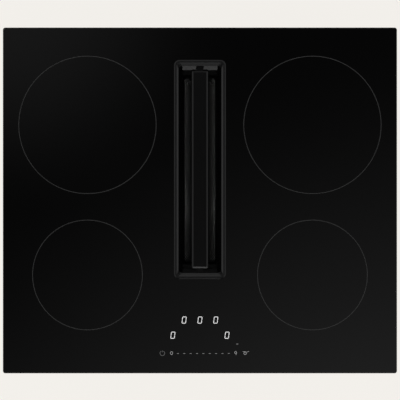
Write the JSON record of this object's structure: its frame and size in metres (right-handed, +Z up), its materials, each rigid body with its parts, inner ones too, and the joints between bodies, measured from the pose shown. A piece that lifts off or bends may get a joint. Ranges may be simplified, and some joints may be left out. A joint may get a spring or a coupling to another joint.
{
  "type": "downdraft induction cooktop",
  "caption": "Built-in black glass induction cooktop with four round zones, a touch strip at the front and a central downdraft extractor with a rear duct outlet.",
  "frame": {"origin": "middle of the glass outline, on the worktop surface that the glass seal rests on", "axes": "+X to the right along the glass width, +Y to the back away from the user, +Z up; the zone centres mirror about the YZ plane"},
  "size_m": [0.571, 0.501, 0.1978],
  "materials": {
    "black_glass": "polished, printed black on its underside",
    "seal_foam": "matte foam tape",
    "silicone": "matte",
    "vent_paint": "fine matte powder coat",
    "bar_paint": "satin black",
    "duct_plastic": "moulded, light texture",
    "filter_steel": "brushed",
    "filter_mesh_steel": "slotted sheet",
    "overflow_plastic": "smooth",
    "zinc_sheet": "galvanised, faint spangle",
    "sensor_shell": "matte",
    "spring_steel": "bright",
    "circuit_board": "solder mask",
    "component_black": "moulded",
    "terminal_plastic": "moulded",
    "terminal_white": "moulded",
    "carrier_plastic": "moulded",
    "display_lens": "smooth",
    "fan_plastic": "moulded",
    "impeller_plastic": "moulded",
    "motor_shell": "cast",
    "rubber_mount": "matte",
    "screw_steel": "zinc plated",
    "litz_copper": "enamelled copper litz",
    "ferrite": "matte",
    "mica": "matte sheet",
    "aluminium_sheet": "mill finish",
    "heat_sink_metal": "extruded"
  },
  "bodies": {
    "chassis": {"air_box_base": "duct_plastic", "air_box_lid": "duct_plastic", "carrier_front_left": "carrier_plastic", "carrier_front_right": "carrier_plastic", "carrier_rear_left": "carrier_plastic", "carrier_rear_right": "carrier_plastic", "clamp_screws": "screw_steel", "clamps": "zinc_sheet", "coil_plate_left": "aluminium_sheet", "coil_plate_right": "aluminium_sheet", "coil_springs": "spring_steel", "control_board": "circuit_board", "control_carrier": "carrier_plastic", "cooling_fan_left": "fan_plastic", "cooling_fan_right": "fan_plastic", "displays": "display_lens", "ferrites_front_left": "ferrite", "ferrites_front_right": "ferrite", "ferrites_rear_left": "ferrite", "ferrites_rear_right": "ferrite", "frame_gasket": "silicone", "glass_bond": "silicone", "glass_top": "black_glass", "heat_sink_left": "heat_sink_metal", "heat_sink_right": "heat_sink_metal", "hob_tray": "zinc_sheet", "inlet_duct": "duct_plastic", "insulation_left": "mica", "insulation_right": "mica", "mains_board": "circuit_board", "mains_filter": "component_black", "motor": "motor_shell", "motor_mounts": "rubber_mount", "outlet_duct": "duct_plastic", "power_board_left": "circuit_board", "power_board_right": "circuit_board", "power_parts_left": "component_black", "power_parts_right": "component_black", "sump": "duct_plastic", "temperature_sensors": "sensor_shell", "terminal_block": "terminal_white", "terminal_box": "terminal_plastic", "touch_pads": "seal_foam", "tray_pillars": "zinc_sheet", "vent_frame": "vent_paint", "volute": "duct_plastic", "volute_cover": "duct_plastic", "winding_front_left": "litz_copper", "winding_front_right": "litz_copper", "winding_rear_left": "litz_copper", "winding_rear_right": "litz_copper", "worktop_seal": "seal_foam"},
    "overflow_tray": {"overflow_tray": "overflow_plastic"},
    "grease_filter": {"filter_frame": "filter_steel", "filter_mesh": "filter_mesh_steel"},
    "inlet_bar": {"inlet_bar": "bar_paint"},
    "impeller": {"impeller_hub": "impeller_plastic", "impeller_blades": "impeller_plastic"},
    "cooling_rotor_left": {"cooling_rotor_left": "fan_plastic"},
    "cooling_rotor_right": {"cooling_rotor_right": "fan_plastic"}
  },
  "joints": [
    {"name": "overflow_tray_lift", "type": "slide", "parent": "chassis", "child": "overflow_tray", "axis": [0, 0, 1], "range_m": [0, 0.21]},
    {"name": "grease_filter_lift", "type": "slide", "parent": "overflow_tray", "child": "grease_filter", "axis": [0, 0, 1], "range_m": [0, 0.075]},
    {"name": "inlet_bar_lift", "type": "slide", "parent": "grease_filter", "child": "inlet_bar", "axis": [0, 0, 1], "range_m": [0, 0.035]},
    {"name": "fan_spin", "type": "hinge", "parent": "chassis", "child": "impeller", "pos_m": [0.155, 0.03, -0.15], "axis": [0, 0, 1], "continuous": true},
    {"name": "cooling_fan_spin_left", "type": "hinge", "parent": "chassis", "child": "cooling_rotor_left", "pos_m": [-0.128, -0.165, -0.045], "axis": [0, 0, 1], "continuous": true},
    {"name": "cooling_fan_spin_right", "type": "hinge", "parent": "chassis", "child": "cooling_rotor_right", "pos_m": [0.128, -0.165, -0.045], "axis": [0, 0, 1], "continuous": true}
  ]
}
